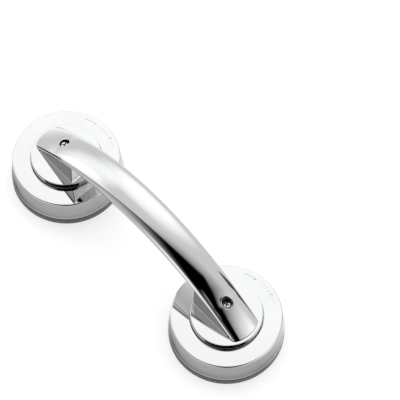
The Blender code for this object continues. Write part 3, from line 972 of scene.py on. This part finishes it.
class StudioNodes:
    """Builds the surroundings' brightness from soft-edged panels in direction space."""

    def __init__(self, tree):
        self.nodes = tree.nodes
        self.links = tree.links
        self.ray = self.nodes.new("ShaderNodeTexCoord").outputs["Generated"]

    def toward(self, axis):
        """Cosine between the ray and an axis."""
        step = self.nodes.new("ShaderNodeVectorMath")
        step.operation = "DOT_PRODUCT"
        self.links.new(self.ray, step.inputs[0])
        step.inputs[1].default_value = axis
        return step.outputs["Value"]

    def fade(self, value, start, end):
        """Smooth rise of a value from 0 at start to 1 at end."""
        step = self.nodes.new("ShaderNodeMapRange")
        step.interpolation_type = "SMOOTHSTEP"
        step.inputs["From Min"].default_value = start
        step.inputs["From Max"].default_value = end
        self.links.new(value, step.inputs["Value"])
        return step.outputs["Result"]

    def combine(self, operation, first, second):
        """Arithmetic on two sockets or numbers."""
        step = self.nodes.new("ShaderNodeMath")
        step.operation = operation
        for socket, item in zip(step.inputs, (first, second)):
            if isinstance(item, (int, float)):
                socket.default_value = item
            else:
                self.links.new(item, socket)
        return step.outputs["Value"]

    def lobe(self, azimuth, elevation, inner, outer, strength):
        """Round panel: full inside the inner angle, gone outside the outer one."""
        value = self.toward(direction(azimuth, elevation))
        soft = self.fade(value, math.cos(math.radians(outer)), math.cos(math.radians(inner)))
        return self.combine("MULTIPLY", soft, strength)

    def total(self, items):
        """Sum of sockets and numbers."""
        result = items[0]
        for item in items[1:]:
            result = self.combine("ADD", result, item)
        return result


def make_world():
    """A white tent round the bar, open and dark on the side that the camera looks in from.

    The base and the rows of panels and fills weren't chosen by hand: they are the rounded output of a
    search that matched the handle's reflections to the photo's brightness. Only one strength, 0.745, was
    changed."""
    world = bpy.data.worlds.new("studio")
    world.use_nodes = True
    studio = StudioNodes(world.node_tree)
    base = 0.957
    # Each row: azimuth, elevation, angle where it is full, angle where it is gone, strength
    panels = ((123.0, 45.0, 4.0, 41.0, 0.745), (-179.0, 26.0, 4.0, 29.0, 0.60),
              (-155.0, 17.0, 2.0, 26.0, 0.69), (5.0, 5.0, 22.0, 45.0, 1.04),
              (157.0, -44.0, 19.0, 42.0, 0.53), (-35.0, 32.0, 5.0, 62.0, -1.32))
    fills = ((-77.0, -7.0, 8.0, 35.0, 1.06), (-161.0, -37.0, 24.0, 122.0, 0.83),
             (-49.0, 27.0, 2.0, 14.0, 0.15), (-35.0, 41.0, 1.0, 7.0, 0.39))
    level = studio.total([base] + [studio.lobe(*panel) for panel in panels])
    tent = studio.combine("MAXIMUM", level, 0.0)
    edge = studio.toward((0.672, -0.696, -0.252))
    opening = studio.combine("MULTIPLY", studio.fade(edge, -0.05, 0.06),
                             studio.fade(studio.toward((-0.474, -0.762, 0.441)), -0.09, -0.01))
    fill = studio.total([studio.lobe(*panel) for panel in fills])
    inside = studio.combine("MULTIPLY", fill, studio.fade(edge, 0.0, 0.12))
    # A thin dark slit, low in the tent on the side away from the camera
    far = studio.combine("ADD", studio.toward((0.862, -0.345, -0.369)), 0.065)
    slit = studio.combine("MULTIPLY", studio.fade(studio.combine("ABSOLUTE", far, 0.0), 0.085, 0.07),
                          studio.lobe(68.0, 9.0, 15.0, 20.0, 0.9))
    tent = studio.combine("MULTIPLY", tent, studio.combine("SUBTRACT", 1.0, slit))
    closed = studio.combine("SUBTRACT", 1.0, opening)
    glow = studio.combine("ADD", studio.combine("MULTIPLY", tent, closed),
                          studio.combine("MULTIPLY", inside, opening))
    studio.links.new(glow, world.node_tree.nodes["Background"].inputs["Strength"])
    world.node_tree.nodes["Background"].inputs["Color"].default_value = (1.0, 1.0, 1.0, 1.0)
    bpy.context.scene.world = world


def make_backdrop():
    """Pale wall far round the floor, there only for what the camera sees directly."""
    radius, height, steps = 3.0, 3.0, 64
    bm = bmesh.new()
    turns = [2.0 * math.pi * i / steps for i in range(steps)]
    bottom = [bm.verts.new((radius * math.cos(t), radius * math.sin(t), 0.0)) for t in turns]
    top = [bm.verts.new((vert.co.x, vert.co.y, height)) for vert in bottom]
    bridge(bm, bottom, top)
    mesh = bpy.data.meshes.new("backdrop")
    bm.to_mesh(mesh)
    bm.free()
    wall = bpy.data.objects.new("backdrop", mesh)
    bpy.context.scene.collection.objects.link(wall)
    mat, shader = new_material("pale_backdrop")
    shader.inputs["Base Color"].default_value = (0.0, 0.0, 0.0, 1.0)
    shader.inputs["Emission Color"].default_value = (1.0, 1.0, 1.0, 1.0)
    shader.inputs["Emission Strength"].default_value = 0.95
    mesh.materials.append(mat)
    for kind in ("diffuse", "glossy", "transmission", "shadow"):
        setattr(wall, f"visible_{kind}", False)


def make_studio():
    """Camera, floor, soft lights and a neutral picture."""
    bpy.context.scene.view_settings.view_transform = "Standard"
    make_camera()
    make_floor()
    make_floor_card()
    make_world()
    make_backdrop()
    over = area_light("over", (-0.1, 0.1, 1.6), (0.0, 0.0, 0.0), 2.4, 20.0)
    over.visible_glossy = False


# ---------------------------------------------------------------- the scene


def repaint(node, mat):
    """Give a CAD node that stays visible its finished material."""
    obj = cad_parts[node]
    obj.data.materials.clear()
    obj.data.materials.append(mat)


def build_spring(tag, mat):
    """The CAD return spring's own mesh as a piece fixed to the frame."""
    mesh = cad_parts[f"return_spring_{tag}"].data.copy()
    mesh.name = f"return_coil_{tag}"
    mesh.materials.clear()
    mesh.materials.append(mat)
    spring = bpy.data.objects.new(f"return_coil_{tag}", mesh)
    bpy.context.scene.collection.objects.link(spring)
    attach(spring, "frame")
    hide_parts(f"return_spring_{tag}")
    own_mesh(spring)


def main():
    make_studio()
    handle_chrome = chrome_material("handle_chrome", (0.60, 0.605, 0.61), 0.05)
    disc_chrome = chrome_material("disc_chrome", (0.60, 0.605, 0.61), 0.05)
    rubber = rubber_material()
    steel = steel_material()
    # Painted light: a lighter copy of the same chrome, for the handle's underside
    lit_underside_chrome = chrome_material("underside_painted_light_chrome", (0.86, 0.863, 0.866), 0.09)
    # Painted shade: a darker copy of the same chrome, for the feet's outer sides
    painted_shade_foot_chrome = chrome_material("foot_side_painted_shade_chrome", (0.21, 0.212, 0.214), 0.05)
    # Partly a satin finish, rougher and less metallic, and partly painted light: a lighter copy of the chrome
    # for the feet's inner faces
    satin_painted_light = chrome_material("satin_painted_light_chrome", (0.93, 0.932, 0.934), 0.5, 0.36)
    satin_painted_light.node_tree.nodes["Principled BSDF"].inputs["Metallic"].default_value = 0.35
    # Bare plastic, made near-black as painted shade, for the walls of the screw cups
    bare_and_painted_shade = plastic_material("bare_plastic_painted_shade", (0.012, 0.012, 0.013), (0.025, 0.025, 0.026), 0.3)
    # Painted shade: near-black for the screws' cross recesses
    recess_painted_shade = plastic_material("recess_painted_shade_black", (0.010, 0.010, 0.011), (0.03, 0.03, 0.032), 0.42)
    white = plastic_material("white_plastic", (0.78, 0.78, 0.76), (0.85, 0.85, 0.83), 0.36)
    grey = plastic_material("grey_plastic", (0.40, 0.41, 0.42), (0.47, 0.48, 0.49), 0.44)

    top = build_handle_top(handle_chrome)
    # Painted shade on the upright walls of the screw cups
    paint_light_and_shade(top, bare_and_painted_shade, in_cup)
    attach(top, "frame")
    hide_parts("handle_top_shell")
    under = build_handle_underside(lit_underside_chrome)
    # Painted light on the feet's inner faces
    paint_light_and_shade(under, satin_painted_light, on_foot_face)
    # Painted shade on the feet's outer sides
    paint_light_and_shade(under, painted_shade_foot_chrome, on_foot_side)
    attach(under, "frame")
    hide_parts("handle_bottom_shell")

    for tag, side in SIDES:
        x = side * DISC_X
        rows = ((build_hub(tag, x, disc_chrome), "frame", (f"hub_cap_{tag}",), "disc_chrome"),
                (build_lock_ring(tag, x, disc_chrome), f"ring_{tag}", (f"lock_ring_{tag}",), "disc_chrome"),
                (build_marks(tag, x, disc_chrome), f"ring_{tag}", (), "disc_chrome"),
                (build_pad(tag, x, rubber), "frame", (f"suction_pad_{tag}",), "grey_rubber"),
                (build_screw(tag, x, steel), "frame", (f"handle_screw_{tag}",), "zinc_steel"))
        # Painted shade in the screw's cross recess
        paint_light_and_shade(rows[-1][0], recess_painted_shade, in_recess)
        for piece, body, nodes, slot in rows:
            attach(piece, body)
            if nodes:
                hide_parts(*nodes)
        for node in (f"pressure_plate_{tag}", f"thrust_washer_{tag}"):
            repaint(node, grey)
        repaint(f"cam_ring_{tag}", white)
        for node in (f"pull_stud_{tag}", f"cross_pin_{tag}", f"hub_screw_{tag}1", f"hub_screw_{tag}2",
                     f"hub_screw_{tag}3"):
            repaint(node, steel)
        build_spring(tag, steel)


main()
